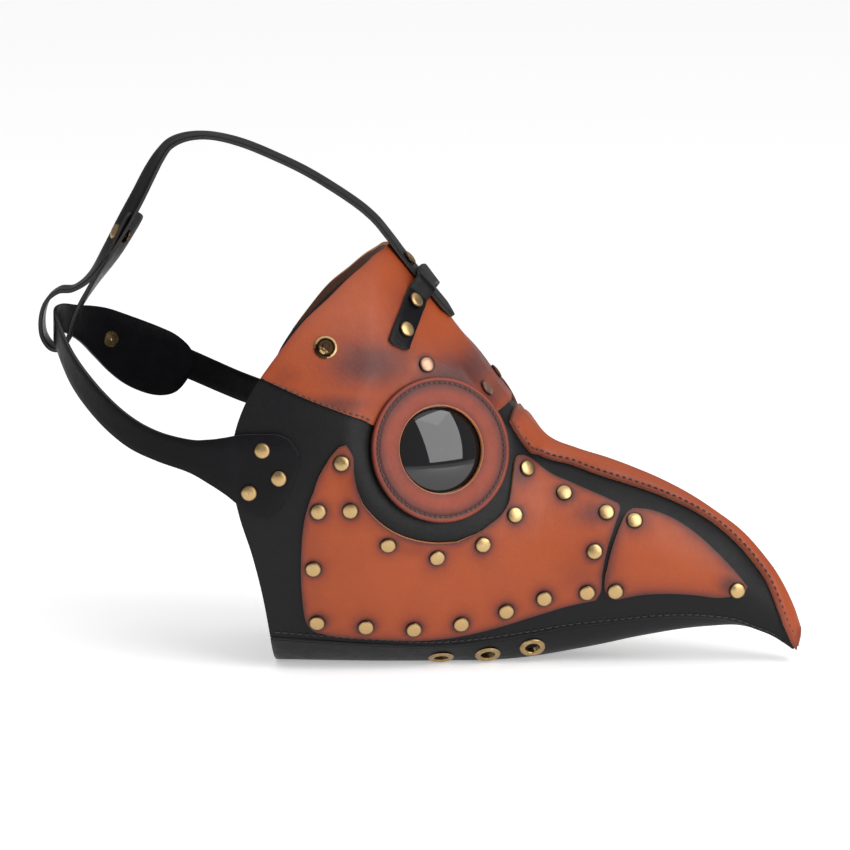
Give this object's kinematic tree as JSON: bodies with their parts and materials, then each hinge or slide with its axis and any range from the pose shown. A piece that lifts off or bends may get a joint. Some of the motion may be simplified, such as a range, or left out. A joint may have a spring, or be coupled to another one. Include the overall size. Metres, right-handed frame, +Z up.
{
  "type": "plague doctor mask",
  "caption": "Leather face mask with a long down-curved beak, round dark eye windows, riveted side panels and a strap harness that goes over and round the head.",
  "frame": {"origin": "point on the flat underside of the chin, midway along the mask and its straps, on the mirror plane", "axes": "+X forward along the beak, +Y to the wearer's left, +Z up; the mask stands on its chin"},
  "size_m": [0.4157, 0.1616, 0.2846],
  "materials": {
    "tan_leather": "burnished satin leather, darker at edges and rivets",
    "burnished_leather": "dark burnished leather with a lighter cut edge",
    "black_body_leather": "fine grain satin",
    "black_strap_leather": "smooth satin with rounded dark edges",
    "antique_brass": "antique, dark in the recesses",
    "aged_copper": "dull and dark",
    "smoked_lens": "polished, nearly opaque"
  },
  "bodies": {
    "mask": {"side_panel_right": "black_body_leather", "side_panel_left": "black_body_leather", "chin_panel": "black_body_leather", "forehead_panel": "tan_leather", "ridge_binding": "burnished_leather", "eye_spacer_right": "black_body_leather", "eye_spacer_left": "black_body_leather", "lens_right": "smoked_lens", "lens_left": "smoked_lens", "eye_ring_right": "burnished_leather", "eye_ring_left": "burnished_leather", "cheek_panel_right": "tan_leather", "cheek_panel_left": "tan_leather", "beak_panel_right": "tan_leather", "beak_panel_left": "tan_leather", "cheek_rivets_right": "antique_brass", "cheek_rivets_left": "antique_brass", "beak_rivets_right": "antique_brass", "beak_rivets_left": "antique_brass", "forehead_rivets": "aged_copper", "forehead_snap_studs": "antique_brass", "chin_eyelets": "antique_brass", "strap_keeper": "black_strap_leather", "keeper_rivets": "antique_brass", "top_strap_rivet": "antique_brass", "head_strap": "black_strap_leather", "head_strap_rivets": "antique_brass", "closure_anchor": "black_strap_leather", "closure_rivets": "antique_brass", "closure_stud": "antique_brass"},
    "top_strap": {"top_strap": "black_strap_leather", "loop_rivet": "antique_brass"},
    "closure": {"closure_strap": "black_strap_leather", "closure_socket": "antique_brass"}
  },
  "joints": [
    {"name": "top_strap_swivel", "type": "hinge", "parent": "mask", "child": "top_strap", "pos_m": [-0.00809, 0, 0.21673], "axis": [0.76, 0, 0.65], "range_deg": [-4, 4]},
    {"name": "closure_swing", "type": "hinge", "parent": "mask", "child": "closure", "pos_m": [-0.0982, 0.08075, 0.126], "axis": [0, 0, -1], "range_deg": [0, 60]}
  ]
}
